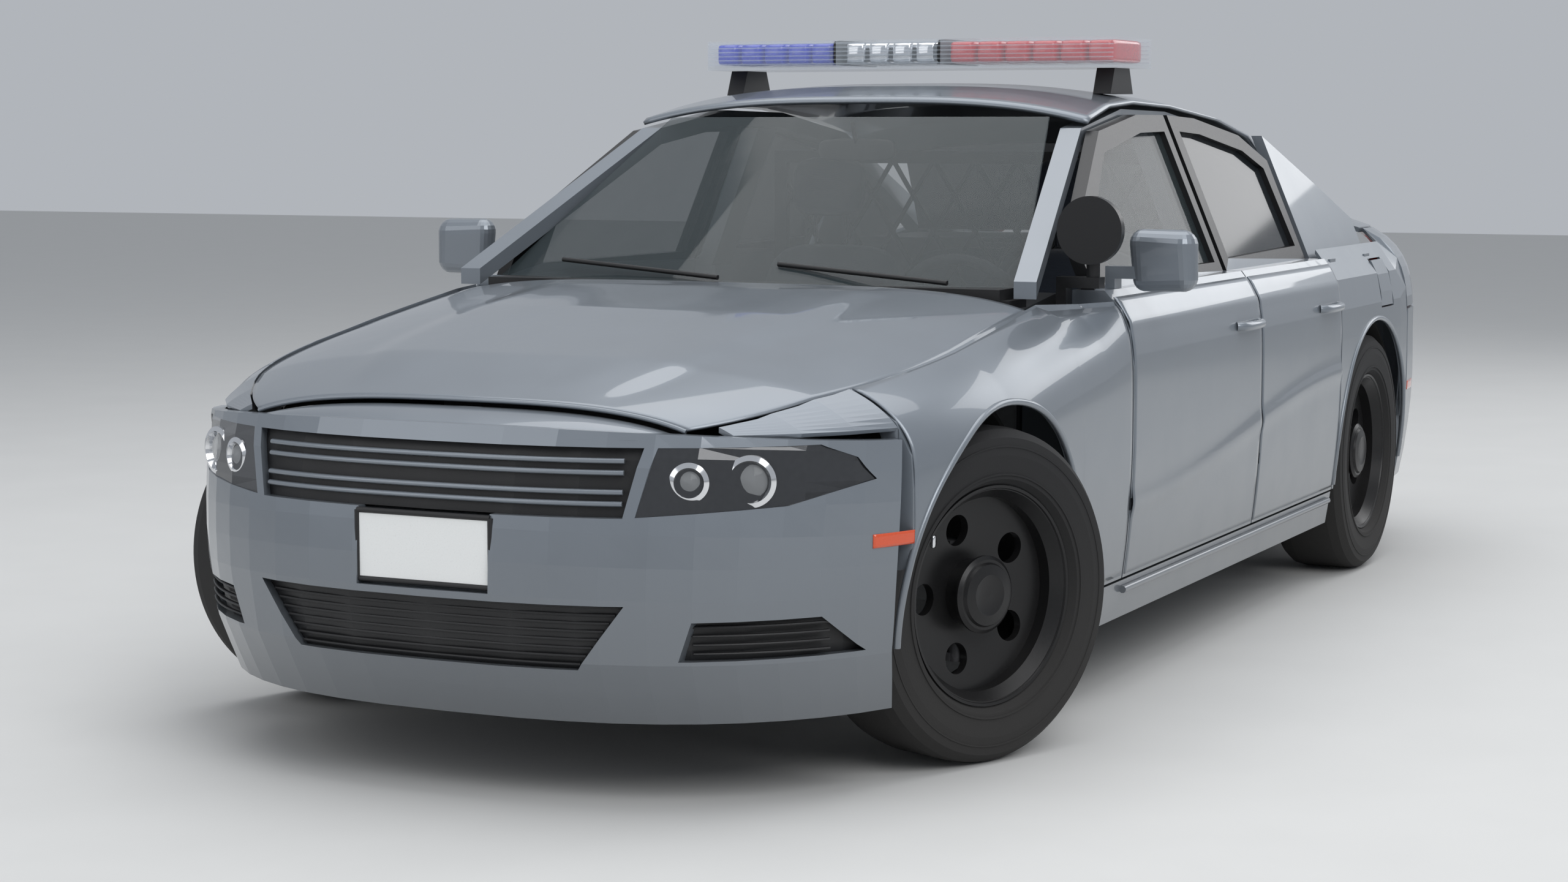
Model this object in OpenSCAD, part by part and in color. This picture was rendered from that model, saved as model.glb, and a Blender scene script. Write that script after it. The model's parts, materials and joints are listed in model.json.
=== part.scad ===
// Four-door police patrol saloon, built from its pressed panels, frame, glass, seats and running gear.
// X points to the front, Y to the car's left and Z up. The origin is on the ground under the middle.

/* [Body] */
// Overall length over the bumpers
car_len = 5040; // [4900:10:5200]
// Half of the widest body section, without mirrors
half_w = 932; // [900:1:960]
// Height of the roof skin at its highest
roof_z = 1480; // [1450:5:1520]
// Distance between the axles
wheelbase = 3052; // [2990:2:3080]
// Distance from the front bumper to the front axle
front_hang = 900; // [880:5:920]
// Gap between a moving panel and its neighbour
shut_gap = 8; // [7:0.5:10]
// Thickness of fixed outer panels
panel_t = 12; // [8:1:16]

/* [Wheels] */
// Outer radius of a tyre
tyre_r = 363; // [340:1:370]
// Width of a tyre
tyre_w = 225; // [195:5:235]
// Radius of the rim's edge
rim_r = 240; // [220:1:250]
// Half of the track width
track = 805; // [790:1:810]
// Radius of a wheel arch
arch_r = 408; // [400:1:420]
// Angle at which the front wheels are parked, turned to the right
park_steer = 22; // [0:1:30]

/* [Doors] */
// Front edge of the front door
door_front_x = 870; // [850:1:880]
// Shut line between front and rear door
door_mid_x = -190; // [-220:1:-160]
// Rear edge of the rear door
door_rear_x = -1010; // [-1020:1:-980]
// Lower edge of the doors
door_low_z = 292; // [280:1:310]
// Flat inner face of the doors
door_in_y = 775; // [770:1:790]
// Radius of a door hinge pin
pin_r = 5; // [4:0.5:6]

/* [Interior] */
// Height of the seat cushions
seat_z = 500; // [460:5:520]
// Width of a front seat
seat_w = 500; // [460:5:520]
// Steering wheel radius
wheel_rim_r = 185; // [170:1:195]

/* [Hidden] */
fit = 0.3;
fuel_gap = 5;
$fn = 48;
front_x = car_len / 2 - front_hang;
rear_x = front_x - wheelbase;
wide_z = 640;
belt_z = 975;
nose_c = 1450;
tail_c = -1500;
pin_back = 30;
pin_y = half_w - 16;
rail_in = 700;

// Body form. Columns: station x, height of the top at the centre, squareness of the shoulder.
top_table = [[-2520, 1085, 4], [-2300, 1105, 4], [-1750, 1095, 4.5], [-1000, 1075, 5], [850, 1060, 5],
    [1050, 1010, 4.5], [1620, 955, 3.2], [2100, 885, 3], [2420, 800, 3], [2520, 760, 3]];
// Columns: height z, furthest point of the nose, furthest point of the tail.
end_table = [[170, 2425, -2400], [300, 2500, -2480], [450, 2520, -2520], [560, 2512, -2520],
    [650, 2500, -2505], [720, 2490, -2495], [790, 2455, -2500], [1000, 2455, -2495], [1100, 2455, -2470]];

function col(t, c) = [for (r = t) [r[0], r[c]]];
function top_z(x) = lookup(x, col(top_table, 1));
function power(x) = lookup(x, col(top_table, 2));
function nose(z) = lookup(z, col(end_table, 1)) - 2520 + car_len / 2;
function tail(z) = lookup(z, col(end_table, 2)) + 2520 - car_len / 2;
function arc_fall(u, n) = pow(max(0, 1 - pow(min(1, max(0, u)), n)), 1 / n);
function plan(x, z) = x > nose_c ? arc_fall((x - nose_c) / (nose(z) - nose_c), 2.6)
    : x < tail_c ? arc_fall((tail_c - x) / (tail_c - tail(z)), 3.4) : 1;
function rise(x, z) = z > wide_z ? arc_fall((z - wide_z) / (top_z(x) - wide_z), power(x))
    : 1 - 0.04 * pow((wide_z - z) / 440, 2);
// Half width of the body at a station and height.
function wide(x, z) = half_w * plan(x, z) * rise(x, z);
// Height of the hood or deck at a station and a distance from the centre.
function deck(x, y) = wide_z + (top_z(x) - wide_z) * arc_fall(abs(y) / (half_w * plan(x, wide_z)), power(x));
// Front and rear faces at a height and a distance from the centre.
function face_front(y, z) = nose_c + (nose(z) - nose_c) * arc_fall(abs(y) / (half_w * rise(2000, min(z, wide_z))), 2.6);
function face_rear(y, z) = tail_c + (tail(z) - tail_c) * arc_fall(abs(y) / (half_w * rise(-2000, min(z, wide_z))), 3.4);
// Half width of the glasshouse at a height.
function glass_y(z) = 815 - 0.42 * (z - belt_z);
// Roof skin: height along the centre, and fall to the sides.
roof_table = [[-1750, 1080], [-1400, 1230], [-1000, 1392], [-700, 1440], [-300, 1472], [0, 1480],
    [200, 1470], [380, 1440], [1120, 1010]];
roof_fall = 45;
function roof(x, y) = lookup(x, roof_table) - 1480 + roof_z - roof_fall * pow(abs(y) / 600, 3);
function steps(a, b, n) = [for (i = [0 : n]) a + (b - a) * i / n];
function flat(m) = [for (r = m) for (p = r) p];

function backwards(m) = [for (i = [len(m) - 1 : -1 : 0]) m[i]];
// Whether a grid's rows already turn the right way round, judged at its middle.
function faces_out(o, n) = let (i = floor(len(o) / 2) - 1, j = floor(len(o[0]) / 2) - 1)
    cross(o[i + 1][j] - o[i][j], o[i + 1][j + 1] - o[i][j]) * (o[i][j] - n[i][j]) < 0;
// Closed solid between an outer and an inner grid of points.
module slab(outer, inner) {
    good = faces_out(outer, inner);
    n = len(outer);
    m = len(outer[0]);
    k = n * m;
    pts = concat(flat(good ? outer : backwards(outer)), flat(good ? inner : backwards(inner)));
    faces = concat(
        [for (i = [0 : n - 2], j = [0 : m - 2]) each [[i * m + j, (i + 1) * m + j, (i + 1) * m + j + 1],
            [i * m + j, (i + 1) * m + j + 1, i * m + j + 1]]],
        [for (i = [0 : n - 2], j = [0 : m - 2]) each [[k + i * m + j, k + (i + 1) * m + j + 1, k + (i + 1) * m + j],
            [k + i * m + j, k + i * m + j + 1, k + (i + 1) * m + j + 1]]],
        [for (i = [0 : n - 2]) each [[i * m, k + i * m, k + (i + 1) * m], [i * m, k + (i + 1) * m, (i + 1) * m],
            [i * m + m - 1, k + (i + 1) * m + m - 1, k + i * m + m - 1],
            [i * m + m - 1, (i + 1) * m + m - 1, k + (i + 1) * m + m - 1]]],
        [for (j = [0 : m - 2]) each [[j, k + j + 1, k + j], [j, j + 1, k + j + 1],
            [(n - 1) * m + j, k + (n - 1) * m + j, k + (n - 1) * m + j + 1],
            [(n - 1) * m + j, k + (n - 1) * m + j + 1, (n - 1) * m + j + 1]]]);
    polyhedron(pts, faces);
}
// Solid through a row of four-cornered rings.
module chain(rings) {
    n = len(rings);
    ahead = rings[1][0] - rings[0][0];
    good = cross(rings[0][1] - rings[0][0], rings[0][2] - rings[0][0]) * ahead > 0;
    r = good ? rings : backwards(rings);
    polyhedron(flat(r), concat([[0, 1, 2, 3], [4 * n - 1, 4 * n - 2, 4 * n - 3, 4 * n - 4]],
        [for (i = [0 : n - 2], j = [0 : 3]) each [[4 * i + j, 4 * i + 4 + j, 4 * i + 4 + (j + 1) % 4],
            [4 * i + j, 4 * i + 4 + (j + 1) % 4, 4 * i + (j + 1) % 4]]]));
}
module block(x0, x1, y0, y1, z0, z1) {
    translate([x0, y0, z0]) cube([x1 - x0, y1 - y0, z1 - z0]);
}
// Outline in Y and Z, carried along X from x0 to x1.
module ahead(pts, x0, x1) {
    translate([x0, 0, 0]) rotate([90, 0, 90]) linear_extrude(x1 - x0) polygon(pts);
}
module both() {
    children();
    mirror([0, 1, 0]) children();
}
// Outline in X and Z, given depth from y0 to y1.
module across(pts, y0, y1) {
    translate([0, y1, 0]) rotate([90, 0, 0]) linear_extrude(y1 - y0) polygon(pts);
}

sill_z0 = 190;
sill_z1 = door_low_z - shut_gap;
floor_z = 250;
boot_z = 430;
pillar_gap = 9;
hood_share = 0.83;
hood_x0 = 1165;
hood_pin = [1190, 950];
hood_nose = 2350;
hood_x1 = 2300;
boot_x0 = -1800;
boot_pin_x = -1822;
boot_pin_z = 1000;
boot_x1 = -2446;
fuel = [-1560, 880, 150];

// Pressed cabin and boot floors, front rails, radiator support and bumper beam.
module floor_pan() color("#50555a") {
    block(rear_x + 470, 1010, -759, 759, floor_z - 20, floor_z);
    block(-2330, rear_x + 469.7, -520, 520, boot_z - 18, boot_z);
    block(rear_x + 440, rear_x + 469.7, -520, 520, floor_z - 20, boot_z - 18.3);
    both() block(1025.6, 2230, 405, 465, 330, 420);
    block(2230.3, 2250, -440, 440, 320, 700);
    block(2250.3, 2380, -420, 420, 440, 540);
    block(-2400, -2342.3, -560, 560, 440, 540);
}
// Roof rail path. Columns: station x, centre height, width, depth.
rail = [[1115, 985, 56, 40], [420, 1335, 56, 44], [60, 1385, 56, 44], [-300, 1380, 56, 44],
    [-800, 1320, 56, 44], [-1250, 1186, 44, 60], [-1660, 1055, 60, 80]];
rail_drop = 62;
rail_top = 1407;
// Sills, hinge pillars, centre pillars and the rail that runs from windscreen pillar to rear pillar.
module side_frames() color("#8b8e92") both() {
    slab([for (x = steps(door_front_x + 330, door_rear_x - 10, 4)) [for (z = [sill_z0, sill_z1]) [x, wide(x, z) - 4, z]]],
        [for (x = steps(door_front_x + 330, door_rear_x - 10, 4)) [for (z = [sill_z0, sill_z1]) [x, 759.3, z]]]);
    block(door_front_x + shut_gap, 1000, 700, 800, sill_z1 + fit, 930);
    block(door_mid_x - 75, door_mid_x + 45, 700, door_in_y - pillar_gap, sill_z1 + fit, 960);
    centre_post();
    for (z = [480, 760]) {
        hinge(door_front_x - pin_back, z, 800 + fit, 90);
        hinge(door_mid_x - shut_gap / 2 - pin_back, z, door_in_y - pillar_gap + fit, 8);
    }
    rail_beam();
}
// Upper half of the centre pillar, leaning in to the roof rail.
module centre_post() {
    top = glass_y(rail[3][1]) - rail_drop;
    ring = function (y, z) [[door_mid_x - 75, y - 25, z], [door_mid_x + 45, y - 25, z],
        [door_mid_x + 45, y + 25, z], [door_mid_x - 75, y + 25, z]];
    chain([ring(735, 960 + fit), ring(top, rail[3][1] - 22 - fit)]);
}
// Arm and pin that a door turns on. The arm starts on its pillar.
module hinge(x, z, y0, reach) {
    block(x - 8, x + 8, pin_y - 60, pin_y + 6, z - 20, z + 20);
    translate([x, pin_y, z - 33]) cylinder(r = pin_r, h = 66);
    block(x - 8, x + reach, y0, pin_y - 50, z - 20, z + 20);
}
module rail_beam() {
    ring = function (c) let (y = glass_y(c[1]) - rail_drop) [[c[0], y - c[2] / 2, c[1] - c[3] / 2],
        [c[0], y + c[2] / 2, c[1] - c[3] / 2], [c[0], y + c[2] / 2, c[1] + c[3] / 2],
        [c[0], y - c[2] / 2, c[1] + c[3] / 2]];
    chain([for (c = rail) ring(c)]);
}
// Firewall, seat-back wall, parcel shelf, boot side walls and rear panel.
module bulkheads() color("#6a6e72") {
    block(1010.3, 1025.3, -690, 690, floor_z - 20, 939.7);
    block(-1130, -1118, -519, 519, boot_z + fit, 999);
    block(-1130, -1118, -680, 680, 670, 999);
    block(-1700, -1118, -680, 680, 999 + fit, 1011);
    block(-2342, -2330 - fit, -600, 600, 380, 850);
    both() {
        block(-1700, -1600, 560, 680, 1011 + fit, 1020 - fit);
        block(boot_pin_x - 12, -1700, 600, 612, boot_pin_z - 12, boot_pin_z + 12);
        block(-1712, -1690, 560, 612, boot_pin_z - 12, 1011);
        translate([boot_pin_x, 612, boot_pin_z]) rotate([90, 0, 0]) cylinder(r = pin_r, h = 40);
    }
}
// Liners over the wheels, each a half tube with an inner wall.
module wheel_houses() color("#1d1f20") both() {
    house(front_x, 465 + fit, 795);
    house(rear_x, 520 + fit, 880);
}
module house(x, y0, y1) {
    difference() {
        translate([x, y1, tyre_r]) rotate([90, 0, 0]) cylinder(r = arch_r + 16, h = y1 - y0, $fn = 96);
        translate([x, y1 + 1, tyre_r]) rotate([90, 0, 0]) cylinder(r = arch_r + 4, h = y1 - y0 - 14, $fn = 96);
        block(x - 500, x + 500, y0 - 1, y1 + 1, -200, tyre_r + 30);
    }
}
module roof_panel() color("#9a9da2") {
    xs = steps(400, -1180, 10);
    ys = steps(-1, 1, 10);
    edge = function (x) min(640, glass_y(lookup(x, roof_table) - 46) + 2);
    slab([for (x = xs) [for (u = ys) [x, u * edge(x), roof(x, u * edge(x))]]],
        [for (x = xs) [for (u = ys) [x, u * edge(x), roof(x, u * edge(x)) - 14]]]);
    both() block(20, 58, 565, 590, rail_top + fit, 1430);
}
module arch_cut(x) {
    translate([x, 1200, tyre_r]) rotate([90, 0, 0]) cylinder(r = arch_r, h = 700, $fn = 96);
}
function hood_y(x) = hood_share * half_w * plan(x, wide_z);
// Point a depth d below the skin: inwards on the side, and down where the skin turns to the top.
function under_skin(x, z, d) = let (s = max(0, min(1, (z - wide_z) / (deck(x, hood_y(x)) - wide_z))))
    [x, wide(x, z) - d * (1 - s), z - d * s];
// Space that a lid of half width share hood_share needs, with a gap g round it.
module lid_space(xs, g) linear_extrude(600) polygon(concat([for (x = xs) [x, hood_y(x) + g]],
    [for (i = [len(xs) - 1 : -1 : 0]) [xs[i], -hood_y(xs[i]) - g]]));
module front_fenders() color("#9a9da2") both() {
    xs = concat(steps(hood_x1, 2018, 3), steps(2014, door_front_x + shut_gap, 9));
    low = function (x) x > 2016 ? 755 : sill_z1 + 8;
    high = function (x) x < 1120 ? 950 : deck(x, hood_y(x) + 7);
    grid = function (d) [for (x = xs) [for (z = steps(low(x), high(x), 8)) under_skin(x, z, d)]];
    difference() {
        slab(grid(0), grid(panel_t));
        arch_cut(front_x);
        translate([0, 0, 700]) lid_space(steps(hood_x1 + 20, 1130, 14), shut_gap - 1);
    }
    block(900, 985, 800 + fit, 905, 850, 870);
    block(front_x - 40, front_x + 40, 700, wide(front_x, 800) - 6, tyre_r + arch_r + 16 + fit, tyre_r + arch_r + 30);
}
function quarter_high(x) = x > boot_x0 ? 1000 : deck(x, hood_share * half_w * plan(x, wide_z) + 7);
module rear_quarters() color("#9a9da2") {
    xs = concat(steps(door_rear_x - shut_gap / 2, -1832, 8), steps(-1836, -2330, 4));
    low = function (x) x < -1834 ? 790 : sill_z1 + 8;
    grid = function (d) [for (x = xs) [for (z = steps(low(x), quarter_high(x), 8)) under_skin(x, z, d)]];
    for (s = [0, 1]) mirror([0, s, 0]) {
        difference() {
            slab(grid(0), grid(panel_t));
            arch_cut(rear_x);
            translate([0, 0, 700]) lid_space(steps(boot_x0 + 8, -2500, 10), shut_gap - 1);
            if (s == 0) fuel_hole(0);
        }
        if (s == 0) translate(fuel_pin() - [0, 0, 10]) cylinder(r = 1.5, h = 44);
        block(rear_x - 40, rear_x + 40, 700, wide(rear_x, 800) - 6, tyre_r + arch_r + 16 + fit, tyre_r + arch_r + 30);
        quarter_pillar();
    }
}
// Skin of the rear pillar, from the shoulder up to the roof.
module quarter_pillar() {
    xs = steps(door_rear_x - shut_gap / 2, -1640, 5);
    top = function (x) lookup(x, roof_table) - 52;
    outer = [for (x = xs) [for (z = steps(940, max(1000, top(x)), 4)) [x, glass_y(z) + 12, z]]];
    inner = [for (x = xs) [for (z = steps(940, max(1000, top(x)), 4)) [x, glass_y(z) - 20, z]]];
    slab(outer, inner);
    for (x = [-1100, -1500])
        block(x - 30, x + 30, glass_y(970) - 4, wide(x, 970) - 4, 950, 970);
}
module fuel_hole(g) {
    block(fuel[0] - fuel[2] / 2 + g, fuel[0] + fuel[2] / 2 - g, 820, 1000,
        fuel[1] - fuel[2] / 2 + g, fuel[1] + fuel[2] / 2 - g);
}
// Short upright pin in the flap's lower front corner.
function fuel_pin() = [fuel[0] + fuel[2] / 2 - fuel_gap - 4, wide(fuel[0], fuel[1] - fuel[2] / 2) - 4.2, fuel[1] - fuel[2] / 2];
module fuel_door() color("#9a9da2") difference() {
    xs = steps(fuel[0] + 80, fuel[0] - 80, 2);
    zs = steps(fuel[1] - 80, fuel[1] + 80, 3);
    intersection() {
        slab([for (x = xs) [for (z = zs) [x, wide(x, z) - 1, z]]], [for (x = xs) [for (z = zs) [x, wide(x, z) - 7, z]]]);
        fuel_hole(fuel_gap);
    }
    translate(fuel_pin()) cylinder(r = 1.55, h = 40);
}
// Point on a bumper's face at angle t from the centre line, at height z and depth d below the skin.
function hoop_front(t, z, d) = [nose_c + (nose(z) - nose_c - d) * pow(cos(t), 2 / 2.6),
    sign(t) * (half_w * rise(2000, min(z, 700)) - d) * pow(abs(sin(t)), 2 / 2.6), z];
function hoop_rear(t, z, d) = [tail_c + (tail(z) - tail_c + d) * pow(cos(t), 2 / 3.4),
    -sign(t) * (half_w * rise(-2000, min(z, 700)) - d) * pow(abs(sin(t)), 2 / 3.4), z];
upper_grille = [[-455, 735], [-425, 598], [425, 598], [455, 735]];
lower_grille = [[-430, 425], [-330, 292], [330, 292], [430, 425]];
lamp_shape = [[480, 735], [448, 600], [700, 618], [815, 660], [790, 706], [740, 735]];
fog_shape = [[520, 312], [548, 392], [745, 392], [795, 312]];
module shrink(g) {
    offset(delta = -g) children();
}
module ahead_inset(pts, g, x0, x1) {
    translate([x0, 0, 0]) rotate([90, 0, 90]) linear_extrude(x1 - x0) shrink(g) polygon(pts);
}
module front_skin(z0, z1, d0, d1, t1, n = 20) {
    ts = steps(t1, -t1, n);
    high = function (t) z1 < 700 ? z1 : 722 + 48 * pow(cos(t), 2);
    slab([for (t = ts) [for (z = steps(z0, high(t), 9)) hoop_front(t, z, d0)]],
        [for (t = ts) [for (z = steps(z0, high(t), 9)) hoop_front(t, z, d1)]]);
}
module front_bumper() color("#a0a3a8") {
    difference() {
        front_skin(175, 745, 0, 26, 61.5);
        both() arch_cut(front_x);
        ahead(upper_grille, 2000, 2700);
        ahead(lower_grille, 2000, 2700);
        both() {
            ahead(lamp_shape, 1900, 2700);
            ahead(fog_shape, 2000, 2700);
        }
        block(2400, 2700, -155, 155, 440, 600);
    }
    difference() {
        block(2400 + fit, 2500, -165, 165, 430, 592);
        block(2484, 2700, -155, 155, 440, 600);
    }
}
module grilles() color("#26292b") for (k = [0 : 3]) intersection() {
    front_skin(280, 745, 20, 45, 61.5, 16);
    grille_part(k);
}
module grille_part(k) {
    if (k == 0) ahead_inset(upper_grille, fit, 1900, 2700);
    if (k == 1) ahead_inset(lower_grille, fit, 1900, 2700);
    if (k > 1) mirror([0, k - 2, 0]) ahead_inset(fog_shape, fit, 1900, 2700);
}
module headlamps() color("#3a3f42") both() intersection() {
    front_skin(560, 745, 3, 140, 61.5, 16);
    ahead_inset(lamp_shape, fit, 2022, 2700);
}
module rear_bumper() color("#a0a3a8") {
    ts = steps(80.5, -80.5, 22);
    grid = function (d) [for (t = ts) [for (z = steps(240, 782, 7)) hoop_rear(t, z, d)]];
    difference() {
        slab(grid(0), grid(26));
        both() arch_cut(rear_x);
    }
    block(-2500, -2400 - fit, -60, 60, 470, 510);
}
tail_lamp_shape = [[500, 850], [500, 965], [800, 955], [860, 930], [860, 850]];
module tail_lamps() color("#8c2320") both() {
    ts = steps(-30, -75, 6);
    grid = function (d) [for (t = ts) [for (z = steps(820, 985, 2)) hoop_rear(t, z, d)]];
    intersection() {
        slab(grid(2), grid(60));
        ahead(tail_lamp_shape, -2700, -2336);
    }
    block(-2460, -2342 - fit, 540, 600, 800, 862);
}
// Windscreen: its centre line leans back, and it bows towards its sides.
screen_z0 = 985 + fit;
screen_z1 = 1386;
function screen_x(y, z) = 1128 - 720 * (z - 985) / 440 - 95 * pow(y / 700, 2);
module windscreen() color("#b9cdd8", 0.5) {
    zs = steps(screen_z0, screen_z1, 6);
    half = function (z) glass_y(z) - rail_drop - 40;
    slab([for (z = zs) [for (u = steps(1, -1, 8)) [screen_x(u * half(z), z), -u * half(z), z]]],
        [for (z = zs) [for (u = steps(1, -1, 8)) [screen_x(u * half(z), z) - 8, -u * half(z), z]]]);
}
back_z0 = 1020;
function back_x(y, z) = -1690 + 560 * (z - 1020) / 370 + 60 * pow(y / 650, 2);
module rear_window() color("#9fb2bb", 0.5) {
    zs = steps(back_z0, 1372, 5);
    half = function (z) glass_y(z) - rail_drop - 52;
    slab([for (z = zs) [for (u = steps(1, -1, 8)) [back_x(u * half(z), z) - 0, u * half(z), z]]],
        [for (z = zs) [for (u = steps(1, -1, 8)) [back_x(u * half(z), z) + 8, u * half(z), z]]]);
}
// Cowl under the windscreen with its two wiper arms.
module cowl() color("#202325") {
    block(1010.3, 1125, -712, 712, 940, 960);
    block(1010.3, 1125, -690, 690, 959, 985);
    both() {
        block(1100, 1124, 600, 612, 900, 945);
        block(1100, hood_pin[0] + 12, 600, 612, 900, 930);
        block(hood_pin[0] - 8, hood_pin[0] + 8, 600, 612, 925, hood_pin[1] + 6);
        translate([hood_pin[0], 612, hood_pin[1]]) rotate([90, 0, 0]) cylinder(r = pin_r, h = 40);
    }
}
module engine() color("#4a4d50") block(1300, 1950, -300, 300, 350 + fit, 800);
// Front and rear subframes with their lower arms, and the rear hubs' stub axles.
arm_z = 252.7;
module subframes() color("#2b2d2f") {
    block(1300, 1900, -404.7, 404.7, 270, 350);
    block(rear_x - 250, rear_x + 250, -420, 420, 300, boot_z - 18 - fit);
    both() {
        translate([rear_x, 700, tyre_r]) rotate([90, 0, 0]) cylinder(r = 26, h = 300);
        translate([rear_x, track + stub_out, tyre_r]) rotate([90, 0, 0]) cylinder(r = stub_r, h = track + stub_out - 690);
        chain([arm_ring(390, 310), arm_ring(track - 20, arm_z - 34)]);
        translate([front_x, track - 15, arm_z - 44]) cylinder(r = 20, h = 44);
    }
}
stub_r = 30;
stub_out = 23;
function arm_ring(y, z) = [[front_x - 26, y, z - 9], [front_x + 26, y, z - 9], [front_x + 26, y, z + 9], [front_x - 26, y, z + 9]];
module exhaust() color("#77797b") {
    translate([rear_x - 560, -420, 300]) rotate([0, 90, 0]) cylinder(r = 80, h = 260);
    both() {
        translate([-2505, 480, 195]) rotate([0, 90, 0]) cylinder(r = 36, h = 560);
        block(-2330, -2310, 470, 490, 215, boot_z - 18 - fit);
    }
    block(rear_x - 560, rear_x - 520, -400, 480, 205, 235);
    block(rear_x - 480, rear_x - 440, -440, -400, 370, boot_z - 18 - fit);
}
module dashboard() color("#33383b") {
    across([[1009, 620], [1009, 930], [760, 960], [640, 900], [620, 780], [800, 600]], -695, 695);
    block(560, 800, -110, 110, floor_z + fit, 640);
    translate([650, wheel_side, 820]) rotate([0, -62, 0]) cylinder(r = 28, h = 110);
}
wheel_side = 370;
module steering_wheel() color("#1c1f21") translate([650, wheel_side, 820]) rotate([0, -62, 0]) {
    translate([0, 0, 125]) rotate_extrude($fn = 72) translate([wheel_rim_r - 14, 0]) circle(r = 14);
    translate([0, 0, 110.3]) cylinder(r = 62, h = 26);
    for (a = [90, 180, 270])
        rotate([0, 0, a]) translate([50, -16, 119]) cube([wheel_rim_r - 62, 32, 12]);
}
module seat(x, y, w) {
    across([[x + 250, seat_z - 130], [x + 260, seat_z + 10], [x + 120, seat_z], [x - 250, seat_z - 20],
        [x - 250, seat_z - 130]], y - w / 2, y + w / 2);
    across([[x - 252, seat_z - 110], [x - 170, seat_z - 20], [x - 290, seat_z + 570], [x - 350, seat_z + 580],
        [x - 400, seat_z + 520]], y - w / 2, y + w / 2);
    block(x - 235, x + 235, y - w / 2 + 30, y + w / 2 - 30, floor_z + fit, seat_z - 130);
}
module front_seats() color("#2f3437") both() {
    seat(120, 370, seat_w);
    across([[-250, seat_z + 610], [-180, seat_z + 600], [-200, seat_z + 780], [-270, seat_z + 780]], 250, 490);
    for (y = [320, 420]) translate([-232, y, seat_z + 560]) rotate([0, -4, 0]) cylinder(r = 7, h = 70);
}
module rear_seat() color("#24282a") {
    across([[-480, 262], [-460, 500], [-930, 470], [-955, 262]], -680, 680);
    across([[-940, 480], [-880, 520], [-1050, 990], [-1117.7, 990], [-1117.7, 480]], -515, 515);
    block(-945, -490, -600, 600, floor_z + fit, 262);
}
// Cage between the rows: a frame with a lattice of bars over a solid lower panel.
cage_x = -420;
module partition() color("#2a2d2f") {
    difference() {
        block(cage_x - 20, cage_x, -640, 640, floor_z + fit, 1290);
        block(cage_x - 21, cage_x + 1, -600, 600, 860, 1255);
    }
    translate([cage_x - 14, 0, 0]) rotate([90, 0, 90]) linear_extrude(8) intersection() {
        translate([-605, 855]) square([1210, 405]);
        union() {
            for (i = [-9 : 9], s = [-1, 1])
                translate([i * 130, 1057]) rotate(s * 58) square([700, 12], center = true);
        }
    }
}
bar_x = -60;
bar_z = 1545;
// Warning light bar: tray and five lens sections.
module light_bar() color("#c9d4dc") {
    block(bar_x - 150, bar_x + 150, -600, 600, bar_z - 28, bar_z - 18);
    for (c = [[-600, -215], [-205, 95 - 0], [105, 600]])
        block(bar_x - 150, bar_x + 150, c[0], c[1], bar_z - 18 + fit, bar_z + 52);
}
module light_bar_feet() color("#1c1e20") both() {
    translate([0, 545, 0]) rotate([90, 0, 0]) translate([0, 0, -25]) linear_extrude(50)
        polygon([[bar_x - 60, bar_z - 28 - fit], [bar_x + 60, bar_z - 28 - fit], [bar_x + 90, foot_z], [bar_x - 90, foot_z]]);
}
foot_z = roof(0, 520) - 2.3;
module front_plate() color("#f2f3f2") {
    block(2500 + fit, 2506, -155, 155, 452, 598 - 10);
}
module hood() color("#9a9da2") {
    xs = steps(hood_nose, hood_x0, 12);
    grid = function (d) [for (x = xs) [for (u = steps(-1, 1, 14)) [x, u * hood_y(x), deck(x, u * hood_y(x)) - d]]];
    slab(grid(0), grid(16));
    both() hinge_arm(hood_pin[0], 596, hood_pin[1], deck(hood_pin[0], 590) - 6);
}
// Hanging arm with a bore across the car.
module hinge_arm(x, y, z, top) {
    difference() {
        block(x - 14, x + 14, y - 12, y, z - 14, top);
        translate([x, y + 1, z]) rotate([90, 0, 0]) cylinder(r = pin_r + 0.05, h = 20);
    }
}
module boot_lid() color("#9a9da2") {
    xs = steps(boot_x0, boot_x1, 8);
    half = function (x) hood_share * half_w * plan(x, wide_z);
    grid = function (d) [for (x = xs) [for (u = steps(-1, 1, 12)) [x, u * half(x), deck(x, u * half(x)) - d]]];
    slab(grid(0), grid(16));
    ts = steps(19.5, -19.5, 8);
    back = function (d) [for (t = ts) [for (z = steps(792, 1010, 3)) hoop_rear(t, z, d)]];
    slab(back(0), back(40));
    both() hinge_arm(boot_pin_x, 596, boot_pin_z, deck(boot_pin_x, 596) - 6);
}

door_mid_gap = shut_gap / 2;
frame_gap = 28;
frame_rear_gap = 40;
inner_taper = 18;
screen_line = [[860, 930], [860, 1090], [400, 1350], [60, 1392], [door_mid_x + frame_gap, 1392], [door_mid_x + frame_gap, 930]];
front_opening = [[700, 1000], [700, 1120], [420, 1296], [80, 1345], [door_mid_x + 70, 1348], [door_mid_x + 70, 1000]];
rear_line = [[door_mid_x - door_mid_gap, 930], [door_mid_x - door_mid_gap, 1392], [-420, 1384], [-780, 1336],
    [door_rear_x + frame_rear_gap, 1262], [door_rear_x + frame_rear_gap, 930]];
rear_opening = [[door_mid_x - 60, 1005], [door_mid_x - 60, 1348], [-420, 1340], [-760, 1292], [-905, 1240], [-920, 1015]];
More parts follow.
